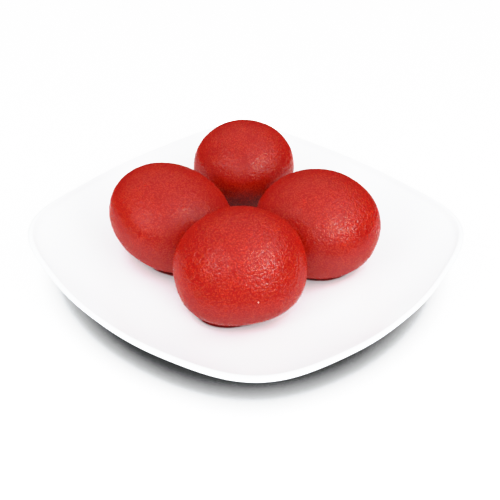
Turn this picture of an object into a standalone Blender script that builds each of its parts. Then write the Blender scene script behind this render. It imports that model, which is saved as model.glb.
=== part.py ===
"""Four syrup-soaked dough balls on a small rounded-square coupe plate.

Metres, +Z up. The origin is the centre of the plate's foot, on the table. The plate's
corners point along X and Y, and the front ball is the one at -Y.
"""
import math

import bmesh
import bpy
from mathutils import Matrix, Vector

MM = 0.001

# Plate: mean sizes of the rim, before it is squared
RIM_RADIUS = 75 * MM
RIM_HEIGHT = 18.1 * MM
WELL_RADIUS = 48 * MM
WELL_HEIGHT = 8 * MM
WALL_CURVE = 1.7             # 1 would be a straight cone, higher is a later, steeper rise
WALL_THICKNESS = 3.4 * MM
WALL_SLANT = 1.1             # a sloping wall is thicker when it is measured straight down
LIP_THICKNESS = 2.2 * MM
LIP_START = 120              # the rolled lip runs over its top between these angles, in degrees
LIP_END = -60
FOOT_RADIUS = 41.5 * MM
FOOT_HEIGHT = 4.3 * MM       # where the foot ring leaves the underside of the wall
FOOT_WIDTH = 5 * MM
FOOT_ROUNDING = 0.6 * MM
RECESS_HEIGHT = 3.6 * MM     # the plate's underside inside the foot ring

# Plate: how the round rim becomes a square with soft corners
CORNER_REACH = 0.061         # radius gained at a corner, and lost at the middle of a side
CORNER_SHARPEN = 0.0128
CORNER_TIGHTEN = 0.0031
CORNER_LIFT = 1.2 * MM
LIFT_SHARPEN = 0.24 * MM

# Resolution
PLATE_STEPS = 96
WELL_RINGS = 2
WALL_RINGS = 7
LIP_RINGS = 4
FOOT_ROUND_STEPS = 2
BALL_SEGMENTS = 36
BALL_RINGS = 18
MERGE_DISTANCE = 0.05 * MM   # closes the turned plate at its axis and its seam

GAP = 0.3 * MM               # between a ball and what it rests on or touches

# Balls: place of the centre over the plate's well, the three widths before anything
# presses on the ball, how the ball leans (about X, Y and Z) and how full its lower half
# is, where 2 is an ellipsoid and more is squarer
BALLS = {
    "jamun_front": {
        "centre": (-4.1 * MM, -34.6 * MM, 19.0 * MM),
        "widths": (44.7 * MM, 39.4 * MM, 39.2 * MM),
        "lean": (-28, -8, -4),
        "fullness": 2.5,
    },
    "jamun_left": {
        "centre": (-27.8 * MM, -1.4 * MM, 16.0 * MM),
        "widths": (46.7 * MM, 42.3 * MM, 34.9 * MM),
        "lean": (7, 19, -26),
        "fullness": 2.2,
    },
    "jamun_right": {
        "centre": (25.1 * MM, -5.9 * MM, 16.5 * MM),
        "widths": (45.7 * MM, 42.3 * MM, 36.2 * MM),
        "lean": (6, 3, -2),
        "fullness": 2.4,
    },
    "jamun_back": {
        "centre": (-0.4 * MM, 36.1 * MM, 16.0 * MM),
        "widths": (40.2 * MM, 40.8 * MM, 34.4 * MM),
        "lean": (0, -6, 10),
        "fullness": 2.3,
    },
}
PRESSED_PAIRS = (("jamun_front", "jamun_left"), ("jamun_front", "jamun_right"))


def clear_scene():
    for thing in list(bpy.data.objects):
        bpy.data.objects.remove(thing, do_unlink=True)


def collection_named(name):
    group = bpy.data.collections.new(name)
    bpy.context.scene.collection.children.link(group)
    return group


def surface(name, colour, roughness):
    material = bpy.data.materials.new(name)
    material.use_nodes = True
    shader = material.node_tree.nodes["Principled BSDF"]
    shader.inputs["Base Color"].default_value = (*colour, 1)
    shader.inputs["Roughness"].default_value = roughness
    shader.inputs["Metallic"].default_value = 0
    return material


def finish(mesh, name, material, group):
    mesh.name = name
    mesh.materials.clear()
    mesh.materials.append(material)
    mesh.shade_smooth()
    thing = bpy.data.objects.new(name, mesh)
    group.objects.link(thing)
    return thing


def wall_height(radius):
    """Height of the plate's inner surface at a radius, before the corners are lifted."""
    rise = max(0, (radius - WELL_RADIUS) / (RIM_RADIUS - WELL_RADIUS))
    return WELL_HEIGHT + (RIM_HEIGHT - WELL_HEIGHT) * rise ** WALL_CURVE


def arc(centre, radius, start, end, steps):
    """Points of an arc in the X-Z plane, from one angle to another in degrees."""
    points = []
    for step in range(steps + 1):
        angle = math.radians(start + (end - start) * step / steps)
        across = centre[0] + radius * math.cos(angle)
        points.append((across, centre[1] + radius * math.sin(angle)))
    return points


def plate_profile():
    """Half section: across the well, up the wall, round the lip, down to the foot."""
    lip = LIP_THICKNESS / 2
    lip_radius = RIM_RADIUS - lip
    ring_gap = (lip_radius - WELL_RADIUS) / WALL_RINGS
    rise = [WELL_RADIUS + ring_gap * ring for ring in range(1, WALL_RINGS)]
    inside = [(WELL_RADIUS * ring / WELL_RINGS, WELL_HEIGHT) for ring in range(WELL_RINGS + 1)]
    inside += [(radius, wall_height(radius)) for radius in rise]
    lip_arc = arc((lip_radius, RIM_HEIGHT - lip), lip, LIP_START, LIP_END, LIP_RINGS)
    outside = []
    for radius in reversed(rise[1:]):
        share = (radius - WELL_RADIUS) / (RIM_RADIUS - WELL_RADIUS)
        depth = WALL_THICKNESS * (1 - share) + LIP_THICKNESS * share
        outside.append((radius, wall_height(radius) - depth * WALL_SLANT))
    outer_centre = (FOOT_RADIUS - FOOT_ROUNDING, FOOT_ROUNDING)
    inner_foot = FOOT_RADIUS - FOOT_WIDTH
    inner_centre = (inner_foot + FOOT_ROUNDING, FOOT_ROUNDING)
    foot = [(FOOT_RADIUS, FOOT_HEIGHT)]
    foot += arc(outer_centre, FOOT_ROUNDING, 0, -90, FOOT_ROUND_STEPS)
    foot += arc(inner_centre, FOOT_ROUNDING, -90, -180, FOOT_ROUND_STEPS)
    recess = [(inner_foot - FOOT_ROUNDING, RECESS_HEIGHT), (0, RECESS_HEIGHT)]
    return inside + lip_arc + outside + foot + recess


def turned_mesh(profile, steps):
    """Turns a half section, given top to bottom, into a closed body round Z."""
    outline = bpy.data.meshes.new("half section")
    points = [(radius, 0, height) for radius, height in profile]
    outline.from_pydata(points, [(n, n + 1) for n in range(len(points) - 1)], [])
    guide = bpy.data.objects.new("half section", outline)
    bpy.context.scene.collection.objects.link(guide)
    screw = guide.modifiers.new("turn", "SCREW")
    screw.steps = steps
    screw.render_steps = steps
    screw.use_merge_vertices = True
    screw.merge_threshold = MERGE_DISTANCE
    evaluated = guide.evaluated_get(bpy.context.evaluated_depsgraph_get())
    turned = bpy.data.meshes.new_from_object(evaluated)
    bpy.data.objects.remove(guide, do_unlink=True)
    bpy.data.meshes.remove(outline)
    return turned


def square_the_rim(mesh):
    """Draws the round dish out to four corners, more and more from the foot to the rim."""
    for vertex in mesh.vertices:
        radius = math.hypot(vertex.co.x, vertex.co.y)
        share = min(1, max(0, (radius - FOOT_RADIUS) / (RIM_RADIUS - FOOT_RADIUS)))
        angle = math.atan2(vertex.co.y, vertex.co.x)
        four, eight, twelve = (math.cos(times * angle) for times in (4, 8, 12))
        reach = CORNER_REACH * four + CORNER_SHARPEN * eight + CORNER_TIGHTEN * twelve
        vertex.co.x *= 1 + share * reach
        vertex.co.y *= 1 + share * reach
        vertex.co.z += share * (CORNER_LIFT * four + LIFT_SHARPEN * eight)


def make_plate(group, material):
    mesh = turned_mesh(plate_profile(), PLATE_STEPS)
    square_the_rim(mesh)
    return finish(mesh, "plate", material, group)


def press_flat(mesh, limit, direction):
    """Pushes back onto a plane all that bulges past it, which leaves a flat spot."""
    for vertex in mesh.vertices:
        excess = vertex.co.dot(direction) - limit
        if excess > 0:
            vertex.co -= excess * direction


def make_ball(name, size, group, material):
    """A leaning ball with a full lower half, pressed flat where its weight rests."""
    shape = bmesh.new()
    bmesh.ops.create_uvsphere(shape, u_segments=BALL_SEGMENTS, v_segments=BALL_RINGS, radius=1)
    power = size["fullness"]
    for vertex in shape.verts:
        if vertex.co.z < 0:
            across = math.hypot(vertex.co.x, vertex.co.y)
            vertex.co /= (across ** power + abs(vertex.co.z) ** power) ** (1 / power)
    turn = Matrix.Identity(4)
    for angle, axis in zip(size["lean"], "XYZ"):
        turn = turn @ Matrix.Rotation(math.radians(angle), 4, axis)
    centre = Vector(size["centre"]) + Vector((0, 0, WELL_HEIGHT))
    half_widths = Vector(size["widths"]) / 2
    shape.transform(Matrix.Translation(centre) @ turn @ Matrix.Diagonal((*half_widths, 1)))
    mesh = bpy.data.meshes.new(name)
    shape.to_mesh(mesh)
    shape.free()
    press_flat(mesh, -(WELL_HEIGHT + GAP), Vector((0, 0, -1)))
    return finish(mesh, name, material, group)


def press_together(first, second):
    """Flattens two soft balls against each other, halfway between their bulges."""
    start = Vector(BALLS[first.name]["centre"])
    direction = (Vector(BALLS[second.name]["centre"]) - start).normalized()
    reach = max(vertex.co.dot(direction) for vertex in first.data.vertices)
    near = min(vertex.co.dot(direction) for vertex in second.data.vertices)
    contact = (reach + near) / 2
    press_flat(first.data, contact - GAP / 2, direction)
    press_flat(second.data, -contact - GAP / 2, -direction)


def build():
    clear_scene()
    group = collection_named("gulab_jamun_plate")
    make_plate(group, surface("white porcelain", (0.85, 0.85, 0.87), 0.18))
    soaked_dough = surface("red soaked dough", (0.52, 0.02, 0.012), 0.38)
    balls = {name: make_ball(name, size, group, soaked_dough) for name, size in BALLS.items()}
    for first, second in PRESSED_PAIRS:
        press_together(balls[first], balls[second])


build()
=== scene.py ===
import math

import bpy
import numpy as np
from mathutils import Matrix, Vector


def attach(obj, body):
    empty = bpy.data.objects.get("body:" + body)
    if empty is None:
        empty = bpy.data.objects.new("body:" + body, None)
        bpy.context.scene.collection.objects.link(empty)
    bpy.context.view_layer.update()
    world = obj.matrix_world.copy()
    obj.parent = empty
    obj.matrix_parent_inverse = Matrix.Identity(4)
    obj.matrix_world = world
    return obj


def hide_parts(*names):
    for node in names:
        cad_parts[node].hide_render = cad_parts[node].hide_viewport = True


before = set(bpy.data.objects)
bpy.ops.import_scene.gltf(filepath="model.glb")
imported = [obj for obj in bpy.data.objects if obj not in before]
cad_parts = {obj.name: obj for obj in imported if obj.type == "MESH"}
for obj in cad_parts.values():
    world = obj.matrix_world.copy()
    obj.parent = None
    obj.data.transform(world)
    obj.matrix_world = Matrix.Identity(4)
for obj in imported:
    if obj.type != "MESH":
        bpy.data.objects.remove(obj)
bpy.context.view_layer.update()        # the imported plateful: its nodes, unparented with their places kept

mm = 0.001


def clearSelection():
    if bpy.context.mode != "OBJECT":
        bpy.ops.object.mode_set(mode="OBJECT")
    bpy.ops.object.select_all(action="DESELECT")


def editOnly(piece):
    clearSelection()
    piece.select_set(True)
    bpy.context.view_layer.objects.active = piece
    bpy.ops.object.mode_set(mode="EDIT")
    bpy.ops.mesh.select_all(action="SELECT")


def applyModifiers(piece):
    clearSelection()
    piece.select_set(True)
    bpy.context.view_layer.objects.active = piece
    for modifier in list(piece.modifiers):
        bpy.ops.object.modifier_apply(modifier=modifier.name)


def readPoints(piece):
    points = np.zeros(len(piece.data.vertices) * 3)
    piece.data.vertices.foreach_get("co", points)
    return points.reshape(-1, 3)


def writePoints(piece, points):
    piece.data.vertices.foreach_set("co", points.ravel())
    piece.data.update()


def linearColour(hexCode):
    # sRGB hex to the linear numbers that shaders and lamps take
    channels = [int(hexCode[at:at + 2], 16) / 255 for at in (1, 3, 5)]
    return (*[c / 12.92 if c <= 0.04045 else ((c + 0.055) / 1.055) ** 2.4 for c in channels], 1)


def addNode(tree, kind, sockets=None, links=None, stops=None, **settings):
    # one node with its settings; links give the socket that feeds each input
    node = tree.nodes.new(kind)
    for name, value in settings.items():
        setattr(node, name, value)
    for name, value in (sockets or {}).items():
        node.inputs[name].default_value = value
    for name, source in (links or {}).items():
        tree.links.new(source, node.inputs[name])
    for number, (place, colour) in enumerate(stops or []):
        ramp = node.color_ramp.elements
        stop = ramp[number] if number < 2 else ramp.new(place)
        stop.position = place
        stop.color = linearColour(colour)
    return node


def newMaterial(name):
    material = bpy.data.materials.new(name)
    material.use_nodes = True
    material.node_tree.nodes.clear()
    return material, material.node_tree


plate = {
    "rimRadius": 75 * mm,        # mean radius, before the corners are drawn out
    "rimHeight": 18.1 * mm,
    "wellRadius": 48 * mm,
    "wellHeight": 8 * mm,
    "wallCurve": 1.7,
    "wallThickness": 3.4 * mm,
    "lipThickness": 2.2 * mm,
    "lipRound": 1.06 * mm,       # radius of the rolled lip
    "footRadius": 41.5 * mm,
    "footWidth": 5 * mm,
    "footRound": 0.6 * mm,
    "recessHeight": 3.6 * mm,
    "cornerReach": 0.061,        # radius gained at a corner and lost mid-side
    "cornerSharpen": 0.0128,
    "cornerTighten": 0.0031,
    "cornerLift": 1.2 * mm,
    "liftSharpen": 0.24 * mm,
    "stepsRound": 288,
    "wallRings": 26,
    "lipRings": 12,
}


def innerHeight(radius):
    # the dish's inner surface: level well, then a wall that steepens to the rim
    rise = np.maximum(0, (radius - plate["wellRadius"]) / (plate["rimRadius"] - plate["wellRadius"]))
    return plate["wellHeight"] + (plate["rimHeight"] - plate["wellHeight"]) * rise ** plate["wallCurve"]


def cornerShare(radius):
    # how much of the corners' shape a round radius gets: none at the foot, all at the rim
    return np.clip((radius - plate["footRadius"]) / (plate["rimRadius"] - plate["footRadius"]), 0, 1)


def cornerShape(points):
    # what the rim gains in radius and in height, towards each point
    angle = np.arctan2(points[:, 1], points[:, 0])
    four, eight, twelve = (np.cos(times * angle) for times in (4, 8, 12))
    reach = plate["cornerReach"] * four + plate["cornerSharpen"] * eight + plate["cornerTighten"] * twelve
    return reach, plate["cornerLift"] * four + plate["liftSharpen"] * eight


def drawCornersOut(points):
    # round dish to rounded square, more and more from the foot to the rim
    share = cornerShare(np.hypot(points[:, 0], points[:, 1]))
    reach, lift = cornerShape(points)
    drawn = points.copy()
    drawn[:, :2] *= (1 + share * reach)[:, None]
    drawn[:, 2] += share * lift
    return drawn


def glazeHeight(points):
    # height of the squared dish's inner surface under each point
    reach, lift = cornerShape(points)
    radius = np.hypot(points[:, 0], points[:, 1])
    for _ in range(6):
        share = cornerShare(radius)
        radius = np.hypot(points[:, 0], points[:, 1]) / (1 + share * reach)
    return innerHeight(radius) + share * lift


def bend(centre, radius, start, end, steps):
    angles = np.radians(np.linspace(start, end, steps + 1))
    return [(centre[0] + radius * math.cos(a), centre[1] + radius * math.sin(a)) for a in angles]


def halfSection():
    # from the middle of the well up to the lip, then down the outside to the recess
    p = plate
    lip = p["lipThickness"] / 2
    lipRadius = p["rimRadius"] - lip
    well = [(p["wellRadius"] * share, p["wellHeight"]) for share in np.linspace(0, 1, 17)]
    wall = np.linspace(p["wellRadius"], lipRadius, p["wallRings"] + 1)[1:-1]
    inside = [(radius, float(innerHeight(radius))) for radius in wall]
    rolled = bend((lipRadius, p["rimHeight"] - lip), p["lipRound"], 120, -60, p["lipRings"])
    outside = []
    for radius in wall[::-1]:
        share = (radius - p["wellRadius"]) / (p["rimRadius"] - p["wellRadius"])
        depth = 1.1 * (p["wallThickness"] * (1 - share) + p["lipThickness"] * share)
        outside.append((radius, float(innerHeight(radius)) - depth))
    innerFoot = p["footRadius"] - p["footWidth"]
    foot = [(p["footRadius"], p["wellHeight"] - p["wallThickness"] - 0.3 * mm)]
    foot += bend((p["footRadius"] - p["footRound"], p["footRound"]), p["footRound"], 0, -90, 5)
    foot += bend((innerFoot + p["footRound"], p["footRound"]), p["footRound"], -90, -180, 5)
    foot += [(innerFoot - p["footRound"], p["recessHeight"]), (0, p["recessHeight"])]
    return well + inside + rolled + outside + foot


def throwPlate():
    section = halfSection()
    clearSelection()
    bpy.ops.mesh.primitive_plane_add(size=1 * mm, location=(0, 0, section[0][1]))
    piece = bpy.context.active_object
    piece.name = "glazed_plate"
    editOnly(piece)
    bpy.ops.mesh.merge(type="CENTER")
    for here, there in zip(section, section[1:]):
        step = (there[0] - here[0], 0, there[1] - here[1])
        bpy.ops.mesh.extrude_region_move(TRANSFORM_OT_translate={"value": step})
    bpy.ops.mesh.select_all(action="SELECT")
    bpy.ops.mesh.spin(steps=plate["stepsRound"], angle=math.tau, center=(0, 0, 0), axis=(0, 0, 1))
    bpy.ops.mesh.select_all(action="SELECT")
    bpy.ops.mesh.remove_doubles(threshold=0.01 * mm)
    bpy.ops.mesh.normals_make_consistent(inside=False)
    bpy.ops.object.mode_set(mode="OBJECT")
    bpy.ops.object.transform_apply(location=True, rotation=True, scale=True)
    writePoints(piece, drawCornersOut(readPoints(piece)))
    bpy.ops.object.shade_smooth()
    return piece


glazedPlate = throwPlate()
print("plate thrown:", len(glazedPlate.data.polygons), "faces")


# centre over the well, widths before anything presses on the ball, how it leans about
# X, Y and Z, and how full its lower half is (2 is an ellipsoid, more is squarer)
balls = {
    "front": {"centre": (-4.1, -34.6, 19.0), "widths": (44.7, 39.4, 39.2), "lean": (-28, -8, -4), "fullness": 2.5},
    "left": {"centre": (-27.8, -1.4, 16.0), "widths": (46.7, 42.3, 34.9), "lean": (7, 19, -26), "fullness": 2.2},
    "right": {"centre": (25.1, -5.9, 16.5), "widths": (45.7, 42.3, 36.2), "lean": (6, 3, -2), "fullness": 2.4},
    "back": {"centre": (-0.4, 36.1, 16.0), "widths": (40.2, 40.8, 34.4), "lean": (0, -6, 10), "fullness": 2.3},
}
pressedPairs = (("front", "left"), ("front", "right"))

dough = {
    "facesAlongEdge": 125,       # of the cube that each ball starts from
    "restGap": 0.2 * mm,         # between a ball and what it rests on
    "touchGap": 0.3 * mm,        # between two balls
    "restSoftness": 0.8 * mm,    # how far the edge of a pressed spot is rounded
    "touchSoftness": 1.8 * mm,
    "lumpSize": 14 * mm,         # hand-rolled unevenness
    "lumpDepth": 0.3 * mm,
    "dimpleSize": 2.2 * mm,      # where the frying skin tightened
    "dimpleDepth": 0.15 * mm,
    "pebbleSize": 0.8 * mm,      # the soaked skin's pebbling
    "pebbleDepth": 0.3 * mm,
}


def pressSoftly(points, limit, direction, softness):
    # keeps points behind a plane, with a rounded edge round the flat spot
    beyond = points @ direction - limit
    kept = (beyond - np.hypot(beyond, softness)) / 2
    return points + (kept - beyond)[:, None] * direction


def rollBall(name, ball):
    clearSelection()
    bpy.ops.mesh.primitive_cube_add(size=2)
    piece = bpy.context.active_object
    piece.name = "soaked_jamun_" + name
    editOnly(piece)
    bpy.ops.mesh.subdivide(number_cuts=4)
    bpy.ops.mesh.subdivide(number_cuts=dough["facesAlongEdge"] // 5 - 1)
    bpy.ops.transform.tosphere(value=1)
    bpy.ops.object.mode_set(mode="OBJECT")
    points = readPoints(piece)
    points /= np.linalg.norm(points, axis=1)[:, None]
    below = points[:, 2] < 0
    across = np.hypot(points[below, 0], points[below, 1])
    power = ball["fullness"]
    points[below] /= ((across ** power + np.abs(points[below, 2]) ** power) ** (1 / power))[:, None]
    writePoints(piece, points)
    centre = Vector(ball["centre"]) * mm + Vector((0, 0, plate["wellHeight"]))
    turn = Matrix.Identity(4)
    for angle, axis in zip(ball["lean"], "XYZ"):
        turn = turn @ Matrix.Rotation(math.radians(angle), 4, axis)
    sizes = Matrix.Diagonal((*(Vector(ball["widths"]) * mm / 2), 1))
    piece.data.transform(Matrix.Translation(centre) @ turn @ sizes)
    floorLevel = plate["wellHeight"] + dough["restGap"]
    writePoints(piece, pressSoftly(readPoints(piece), -floorLevel, np.array((0, 0, -1)), dough["restSoftness"]))
    return piece


def pressTogether(first, second):
    # two soft balls flatten against each other, halfway between their bulges
    direction = Vector(balls[second]["centre"]) - Vector(balls[first]["centre"])
    direction = np.array(direction.normalized())
    here, there = readPoints(rolled[first]), readPoints(rolled[second])
    contact = ((here @ direction).max() + (there @ direction).min()) / 2
    gap, softness = dough["touchGap"] / 2, dough["touchSoftness"]
    writePoints(rolled[first], pressSoftly(here, contact - gap, direction, softness))
    writePoints(rolled[second], pressSoftly(there, -contact - gap, -direction, softness))


def roughenSkin(piece):
    # three reliefs, each as much out as in, all smaller than the gap to the neighbours
    for relief in ("lump", "dimple", "pebble"):
        pattern = bpy.data.textures.new(relief, "CLOUDS")
        pattern.noise_scale = dough[relief + "Size"]
        pattern.noise_depth = 1
        press = piece.modifiers.new(relief, "DISPLACE")
        press.texture = pattern
        press.texture_coords = "LOCAL"
        press.strength = dough[relief + "Depth"]
        press.mid_level = 0.5
    applyModifiers(piece)
    bpy.ops.object.shade_smooth()


rolled = {name: rollBall(name, ball) for name, ball in balls.items()}
for first, second in pressedPairs:
    pressTogether(first, second)
for piece in rolled.values():
    roughenSkin(piece)
print("balls rolled:", sum(len(piece.data.polygons) for piece in rolled.values()), "faces")

# a thin collar of syrup climbs each ball's foot and runs out on the glaze; where it is thick it is an opaque dark red,
# painted contact shade along the foot
syrup = {
    "climb": 0.7 * mm,           # how high it wets the ball
    "stepsRound": 120,
    "middle": 15 * mm,           # radius the collar is turned at, before it is fitted to its ball
    "smooth": 5,                 # directions that the outline is averaged over
    # outwards from the ball's foot and up from the glaze, in mm
    "section": ((-4.2, -0.1), (-4.2, 0.3), (-0.8, 0.52), (-0.2, 0.47), (0.2, 0.39), (0.6, 0.29), (0.9, 0.2),
                (1.2, 0.13), (1.6, 0.08), (2, 0.05), (2.4, 0.03), (2.6, -0.1)),
    # how far past its foot each ball's syrup has spread, in mm, and with it the painted dark contact line
    "spread": {"front": 2.3, "left": 1.3, "right": 0.5, "back": 0.3},
}


def footOutline(name):
    # distance from the ball's middle to where it rises clear of the syrup, all round
    skinPoints = readPoints(rolled[name])
    wet = skinPoints[skinPoints[:, 2] - glazeHeight(skinPoints) < syrup["climb"]]
    wet = wet - np.array((*balls[name]["centre"][:2], 0)) * mm
    steps = syrup["stepsRound"]
    sector = (np.arctan2(wet[:, 1], wet[:, 0]) / math.tau * steps).astype(int) % steps
    outline = np.zeros(steps)
    np.maximum.at(outline, sector, np.hypot(wet[:, 0], wet[:, 1]))
    turned = [np.roll(outline, turn) for turn in range(-syrup["smooth"] // 2 + 1, syrup["smooth"] // 2 + 1)]
    return np.mean(turned, axis=0)


def pourSyrup(name):
    outline = footOutline(name)
    section = [(syrup["middle"] + out * mm, up * mm) for out, up in syrup["section"]]
    clearSelection()
    bpy.ops.mesh.primitive_plane_add(size=1 * mm, location=(section[0][0], 0, section[0][1]))
    piece = bpy.context.active_object
    piece.name = "syrup_" + name
    editOnly(piece)
    bpy.ops.mesh.merge(type="CENTER")
    for here, there in zip(section, section[1:] + section[:1]):
        step = (there[0] - here[0], 0, there[1] - here[1])
        bpy.ops.mesh.extrude_region_move(TRANSFORM_OT_translate={"value": step})
    bpy.ops.mesh.select_all(action="SELECT")
    bpy.ops.mesh.spin(steps=syrup["stepsRound"], angle=math.tau, center=(0, 0, 0), axis=(0, 0, 1))
    bpy.ops.mesh.select_all(action="SELECT")
    bpy.ops.mesh.remove_doubles(threshold=0.005 * mm)
    bpy.ops.mesh.normals_make_consistent(inside=False)
    bpy.ops.object.mode_set(mode="OBJECT")
    bpy.ops.object.transform_apply(location=True, rotation=True, scale=True)
    points = readPoints(piece)
    angle = np.arctan2(points[:, 1], points[:, 0])
    reach = np.interp(angle % math.tau, (np.arange(len(outline)) + 0.5) * math.tau / len(outline), outline,
                      period=math.tau)
    reach += np.hypot(points[:, 0], points[:, 1]) - syrup["middle"] + syrup["spread"][name] * mm
    depth = piece.data.attributes.new("depth", "FLOAT", "POINT")      # in climbs, for its colour
    depth.data.foreach_set("value", points[:, 2] / syrup["climb"])
    fitted = np.stack([reach * np.cos(angle), reach * np.sin(angle), points[:, 2]], axis=1)
    fitted[:, :2] += np.array(balls[name]["centre"][:2]) * mm
    fitted[:, 2] += glazeHeight(fitted)
    writePoints(piece, fitted)
    bpy.ops.object.shade_smooth()
    return piece


crystal = {
    "size": 0.52 * mm,           # a grain of undissolved sugar, stuck to the front ball
    "place": (1.14 * mm, -54.88 * mm, 27.46 * mm),
    "unevenness": 0.2 * mm,
}


def dropCrystal():
    clearSelection()
    bpy.ops.mesh.primitive_ico_sphere_add(subdivisions=4, radius=crystal["size"] / 2, location=crystal["place"])
    piece = bpy.context.active_object
    piece.name = "sugar_crystal"
    bpy.ops.object.transform_apply(location=True, rotation=True, scale=True)
    facets = bpy.data.textures.new("crystal facets", "VORONOI")
    facets.noise_scale = crystal["size"] / 2
    broken = piece.modifiers.new("facets", "DISPLACE")
    broken.texture = facets
    broken.texture_coords = "LOCAL"
    broken.strength = crystal["unevenness"]
    applyModifiers(piece)
    bpy.ops.object.shade_smooth_by_angle(angle=math.radians(30))
    return piece


sugarCrystal = dropCrystal()
collars = [pourSyrup(name) for name in balls]
print("syrup poured:", sum(len(piece.data.polygons) for piece in collars), "faces")


glaze = {
    "body": "#F2F6FA",           # hard-paste porcelain under clear glaze
    "shade": "#EFF3F8",
    "foot": "#E9E4DA",           # the bare ring that stood on the kiln shelf
    "ior": 1.5,
    "rippleSize": 7 * mm,        # the fired glaze's faint orange peel
}


def porcelainGlaze():
    # porcelain is cast, glazed and fired: cool white, glassy, faintly rippled in the shine
    material, tree = newMaterial("porcelain glaze")
    place = addNode(tree, "ShaderNodeTexCoord").outputs["Object"]
    cloud = addNode(tree, "ShaderNodeTexNoise", {"Scale": 1 / (30 * mm), "Detail": 2}, {"Vector": place})
    tone = addNode(tree, "ShaderNodeValToRGB", None, {"Fac": cloud.outputs["Fac"]},
                   [(0.35, glaze["shade"]), (0.65, glaze["body"])])
    height = addNode(tree, "ShaderNodeSeparateXYZ", None, {"Vector": place}).outputs["Z"]
    bare = addNode(tree, "ShaderNodeMapRange", {"From Min": 0.3 * mm, "From Max": 0.5 * mm, "To Min": 1, "To Max": 0},
                   {"Value": height})
    colour = addNode(tree, "ShaderNodeMix", {"B": linearColour(glaze["foot"])},
                     {"Factor": bare.outputs["Result"], "A": tone.outputs["Color"]}, data_type="RGBA")
    ripple = addNode(tree, "ShaderNodeTexNoise", {"Scale": 1 / glaze["rippleSize"], "Detail": 1}, {"Vector": place})
    rough = addNode(tree, "ShaderNodeMapRange", {"To Min": 0.1, "To Max": 0.2}, {"Value": ripple.outputs["Fac"]})
    matt = addNode(tree, "ShaderNodeMapRange", {"To Max": 0.7},
                   {"Value": bare.outputs["Result"], "To Min": rough.outputs["Result"]})
    bump = addNode(tree, "ShaderNodeBump", {"Strength": 0.3, "Distance": 0.03 * mm}, {"Height": ripple.outputs["Fac"]})
    shader = addNode(tree, "ShaderNodeBsdfPrincipled", {"IOR": glaze["ior"]},
                     {"Base Color": colour.outputs["Result"], "Roughness": matt.outputs["Result"],
                      "Normal": bump.outputs["Normal"]})
    addNode(tree, "ShaderNodeOutputMaterial", None, {"Surface": shader.outputs["BSDF"]})
    return material


skin = {
    "paintedCreaseShade": "#8E0B02",        # painted shade: darkest between the grains, in the creases
    "grain": "#AD2F15",
    "ior": 1.4,                  # of sugar syrup
    "grainSize": 0.55 * mm,      # the tight wrinkled grain that the syrup swells
    "grainDepth": 0.13 * mm,
    "mottleSize": 6 * mm,
}


def soakedDough():
    # fried milk dough steeped in dyed syrup: deep red, a little see-through, wet and finely pebbled
    material, tree = newMaterial("syrup-soaked dough")
    place = addNode(tree, "ShaderNodeTexCoord").outputs["Object"]
    mottle = addNode(tree, "ShaderNodeTexNoise", {"Scale": 1 / skin["mottleSize"], "Detail": 3}, {"Vector": place})
    edgeOn = addNode(tree, "ShaderNodeLayerWeight", {"Blend": 0.5})
    gloss = addNode(tree, "ShaderNodeMapRange", {"From Min": 0.3, "From Max": 0.7, "To Min": 0.5, "To Max": 0.06},
                    {"Value": edgeOn.outputs["Facing"]})      # wrinkles hide each other's shine edge-on
    grain = addNode(tree, "ShaderNodeTexVoronoi", {"Scale": 1 / skin["grainSize"], "Smoothness": 0.3},
                    {"Vector": place}, feature="SMOOTH_F1")
    patchy = addNode(tree, "ShaderNodeMath", {1: 0.3}, {0: mottle.outputs["Fac"]}, operation="MULTIPLY")
    # painted shade: the colour darkens where the grain's distance is high, in the creases between the grains, shifted
    # by random mottle
    paintedCreaseShadeAndMottle = addNode(tree, "ShaderNodeMath", None, {0: grain.outputs["Distance"], 1: patchy.outputs["Value"]},
                   operation="ADD")
    tone = addNode(tree, "ShaderNodeValToRGB", None, {"Fac": paintedCreaseShadeAndMottle.outputs["Value"]},
                   [(0.3, skin["grain"]), (0.75, skin["paintedCreaseShade"])])
    rough = addNode(tree, "ShaderNodeMapRange", {"To Min": 0.05, "To Max": 0.1}, {"Value": mottle.outputs["Fac"]})
    bump = addNode(tree, "ShaderNodeBump", {"Strength": 1, "Distance": skin["grainDepth"]},
                   {"Height": grain.outputs["Distance"]}, invert=True)
    shader = addNode(tree, "ShaderNodeBsdfPrincipled",
                     {"IOR": skin["ior"], "Subsurface Weight": 1, "Subsurface Scale": 6 * mm,
                      "Subsurface Radius": (1, 0.15, 0.08)},
                     {"Base Color": tone.outputs["Color"], "Roughness": rough.outputs["Result"],
                      "Specular IOR Level": gloss.outputs["Result"], "Normal": bump.outputs["Normal"]})
    addNode(tree, "ShaderNodeOutputMaterial", None, {"Surface": shader.outputs["BSDF"]})
    return material


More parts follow.
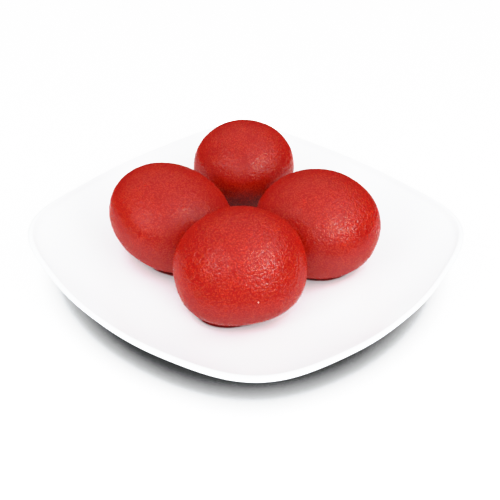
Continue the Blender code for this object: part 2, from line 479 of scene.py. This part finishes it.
def syrupWithPaintedShade():
    # strained syrup with red dye: an opaque deep red where it is thick at the ball, painted contact shade along the
    # foot, and clear where it thins out
    material, tree = newMaterial("sugar syrup with painted contact shade")
    place = addNode(tree, "ShaderNodeTexCoord").outputs["Object"]
    depth = addNode(tree, "ShaderNodeAttribute", attribute_name="depth")
    swirl = addNode(tree, "ShaderNodeTexNoise", {"Scale": 1 / (1.5 * mm), "Detail": 2}, {"Vector": place})
    tint = addNode(tree, "ShaderNodeValToRGB", None, {"Fac": swirl.outputs["Fac"]},
                   [(0.3, "#620C08"), (0.7, "#76130D")])
    rough = addNode(tree, "ShaderNodeMapRange", {"To Min": 0.03, "To Max": 0.1}, {"Value": swirl.outputs["Fac"]})
    # painted contact shade: where the collar is thick it turns opaque deep red
    paintedShadeCover = addNode(tree, "ShaderNodeMapRange", {"From Min": 0.2, "From Max": 0.5, "To Min": 0.04, "To Max": 1},
                    {"Value": depth.outputs["Fac"]})
    shader = addNode(tree, "ShaderNodeBsdfPrincipled", {"IOR": 1.45},
                     {"Base Color": tint.outputs["Color"], "Roughness": rough.outputs["Result"],
                      "Alpha": paintedShadeCover.outputs["Result"]})
    addNode(tree, "ShaderNodeOutputMaterial", None, {"Surface": shader.outputs["BSDF"]})
    return material


def sugarGrain():
    # crystalline sugar, soaked pink: pale, a little cloudy, with glassy facets
    material, tree = newMaterial("sugar crystal")
    place = addNode(tree, "ShaderNodeTexCoord").outputs["Object"]
    cloud = addNode(tree, "ShaderNodeTexNoise", {"Scale": 1 / (0.2 * mm), "Detail": 2}, {"Vector": place})
    tint = addNode(tree, "ShaderNodeValToRGB", None, {"Fac": cloud.outputs["Fac"]},
                   [(0.35, "#E68E80"), (0.65, "#F0A69A")])
    rough = addNode(tree, "ShaderNodeMapRange", {"To Min": 0.1, "To Max": 0.3}, {"Value": cloud.outputs["Fac"]})
    shader = addNode(tree, "ShaderNodeBsdfPrincipled", {"IOR": 1.54},
                     {"Base Color": tint.outputs["Color"], "Roughness": rough.outputs["Result"]})
    addNode(tree, "ShaderNodeOutputMaterial", None, {"Surface": shader.outputs["BSDF"]})
    return material


glazedPlate.data.materials.append(porcelainGlaze())
syrupFilm = syrupWithPaintedShade()
for piece in collars:
    piece.data.materials.append(syrupFilm)
sugarCrystal.data.materials.append(sugarGrain())
doughSkin = soakedDough()
for piece in rolled.values():
    piece.data.materials.append(doughSkin)
print("materials made")


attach(glazedPlate, "root")
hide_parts("plate")
for name, piece in rolled.items():
    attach(piece, "root")
    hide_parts("jamun_" + name)
for piece in (*collars, sugarCrystal):
    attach(piece, "root")


studio = {
    "floor": "#FAFAFA",
    "shadow": "#1E1E1E",         # painted shadow, mixed into the board under the plate wherever the occlusion finds it closed in
    "floorSize": 8,              # metres, so that it fills every view
    "backdropHeight": 2,         # of the same white board, standing round the table
    "floorGlow": 0.5,            # a light table: the white board glows as if lit from below too, and the glow is dimmed where the shadow is painted
    "shadowReach": 16 * mm,      # how far the painted contact shadow under the plate reaches
    "lampDistance": 0.9,
    "domeLevel": 0.06,           # the studio's walls and ceiling: brighter above and in front
    "domeFront": 0.62,
    "domeAbove": 1.07,
    "whitePoint": 2,           # scene brightness that shows as pure white
    # scene brightness and how bright it is shown
    "tone": ((0.002, 0.004), (0.01, 0.009), (0.025, 0.0185), (0.045, 0.0375), (0.085, 0.07), (0.12, 0.12),
             (0.17, 0.2), (0.25, 0.31), (0.35, 0.41), (0.45, 0.49), (0.55, 0.585), (0.62, 0.655), (0.7, 0.755),
             (0.8, 0.86), (0.9, 0.905), (1.05, 0.935), (1.4, 0.97)),
    "boxes": {
        # towards the lamp (azimuth to the right of -Y, height), its width and brightness, and
        # whether wet surfaces show it or only its light
        "keySoftbox": {"azimuth": 40, "height": 27, "size": 0.44, "glow": 6.6, "mirrored": True},
        "fillSoftbox": {"azimuth": -50, "height": 30, "size": 0.36, "glow": 6.4, "mirrored": True},
        "leftSoftbox": {"azimuth": -60, "height": 50, "size": 0.75, "glow": 1.7, "mirrored": False},
        "rightSoftbox": {"azimuth": 66, "height": 48, "size": 0.75, "glow": 1.8, "mirrored": True},
        "cameraSoftbox": {"azimuth": 0, "height": 36, "size": 0.4, "glow": 1.6, "mirrored": False},
        "lensSoftbox": {"azimuth": 8, "height": 32, "size": 0.36, "glow": 1.6, "mirrored": True},
    },
}


def mattBoard():
    # a white acrylic light table, matt: it glows where nothing stands close over it; occlusion darkens its colour and
    # dims its glow, a painted contact shadow under the plate
    material, tree = newMaterial("matt white light table")
    place = addNode(tree, "ShaderNodeTexCoord").outputs["Object"]
    fibre = addNode(tree, "ShaderNodeTexNoise", {"Scale": 1 / (2 * mm), "Detail": 4}, {"Vector": place})
    rough = addNode(tree, "ShaderNodeMapRange", {"To Min": 0.7, "To Max": 0.85}, {"Value": fibre.outputs["Fac"]})
    # painted shadow: the board's occlusion turns its colour towards the shadow colour and dims its glow
    paintedShadowOcclusion = addNode(tree, "ShaderNodeAmbientOcclusion", {"Distance": studio["shadowReach"]}, samples=24)
    paintedShadowMask = addNode(tree, "ShaderNodeMapRange", {"From Min": 0.35, "From Max": 0.85}, {"Value": paintedShadowOcclusion.outputs["AO"]})
    tone = addNode(tree, "ShaderNodeMix", {"A": linearColour(studio["shadow"]), "B": linearColour(studio["floor"])},
                   {"Factor": paintedShadowMask.outputs["Result"]}, data_type="RGBA")
    glow = addNode(tree, "ShaderNodeMath", {1: studio["floorGlow"]}, {0: paintedShadowMask.outputs["Result"]}, operation="MULTIPLY")
    shader = addNode(tree, "ShaderNodeBsdfPrincipled", {"Emission Color": linearColour(studio["floor"])},
                     {"Base Color": tone.outputs["Result"], "Roughness": rough.outputs["Result"],
                      "Emission Strength": glow.outputs["Value"]})
    addNode(tree, "ShaderNodeOutputMaterial", None, {"Surface": shader.outputs["BSDF"]})
    return material


def layFloor():
    clearSelection()
    bpy.ops.mesh.primitive_plane_add(size=studio["floorSize"], location=(0, 0, -0.1 * mm))
    floor = bpy.context.active_object
    floor.name = "floor"
    bpy.ops.object.transform_apply(location=True, rotation=True, scale=True)
    board = mattBoard()
    floor.data.materials.append(board)
    floor.visible_glossy = False      # the wet skins mirror the dark end of the studio
    clearSelection()
    bpy.ops.mesh.primitive_cylinder_add(vertices=96, radius=studio["floorSize"] / 2, depth=studio["backdropHeight"],
                                        end_fill_type="NOTHING", location=(0, 0, studio["backdropHeight"] / 2))
    backdrop = bpy.context.active_object
    backdrop.name = "backdrop"
    bpy.ops.object.transform_apply(location=True, rotation=True, scale=True)
    bpy.ops.object.shade_smooth()
    backdrop.data.materials.append(board)
    # it lets the dome's light through, and only fills the view behind the plate
    backdrop.visible_diffuse = False
    backdrop.visible_glossy = False
    backdrop.visible_shadow = False


def hangSoftbox(name, box):
    azimuth, height = math.radians(box["azimuth"]), math.radians(box["height"])
    towards = Vector((math.sin(azimuth) * math.cos(height), -math.cos(azimuth) * math.cos(height), math.sin(height)))
    bpy.ops.object.light_add(type="AREA", location=towards * studio["lampDistance"])
    lamp = bpy.context.active_object
    lamp.name = name
    lamp.rotation_euler = towards.to_track_quat("Z", "Y").to_euler()
    lamp.data.shape = "DISK"
    lamp.data.size = box["size"]
    lamp.data.energy = box["glow"] * math.pi ** 2 * box["size"] ** 2 / 4
    lamp.visible_glossy = box["mirrored"]


def lightDome():
    # a plain studio round the table, shaded by direction only
    world = bpy.data.worlds.new("studio dome")
    world.use_nodes = True
    tree = world.node_tree
    tree.nodes.clear()
    direction = addNode(tree, "ShaderNodeTexCoord").outputs["Generated"]
    forward = addNode(tree, "ShaderNodeVectorMath", {1: (0, -studio["domeFront"], studio["domeAbove"])},
                      {0: direction}, operation="MULTIPLY")
    kept = addNode(tree, "ShaderNodeVectorMath", {1: (0, 0, 0)}, {0: forward.outputs["Vector"]}, operation="MAXIMUM")
    total = addNode(tree, "ShaderNodeVectorMath", {1: (1, 1, 1)}, {0: kept.outputs["Vector"]}, operation="DOT_PRODUCT")
    level = addNode(tree, "ShaderNodeMath", {1: studio["domeLevel"]}, {0: total.outputs["Value"]}, operation="ADD")
    shine = addNode(tree, "ShaderNodeBackground", {"Color": linearColour("#FFFFFF")},
                    {"Strength": level.outputs["Value"]})
    addNode(tree, "ShaderNodeOutputWorld", None, {"Surface": shine.outputs["Background"]})
    bpy.context.scene.world = world


def placeCamera():
    bpy.ops.object.camera_add(location=(-13.24 * mm, -260.16 * mm, 197.99 * mm),
                              rotation=[math.radians(a) for a in (53.862, -1.215, -2.265)])
    camera = bpy.context.active_object
    camera.data.sensor_width = 36
    camera.data.lens = 61.11
    camera.data.clip_start = 0.01
    bpy.context.scene.camera = camera


def setTone():
    # a camera's tone curve: a short toe keeps the gaps between the balls deep red, and a
    # long shoulder keeps the white porcelain's shape
    view = bpy.context.scene.view_settings
    view.view_transform = "Standard"
    view.use_curve_mapping = True
    tone = view.curve_mapping
    tone.white_level = [studio["whitePoint"]] * 3
    curve = tone.curves[3]
    for bright, shown in studio["tone"]:
        curve.points.new(bright / studio["whitePoint"], shown)
    tone.update()


layFloor()
for name, box in studio["boxes"].items():
    hangSoftbox(name, box)
lightDome()
placeCamera()
setTone()
print("studio set")
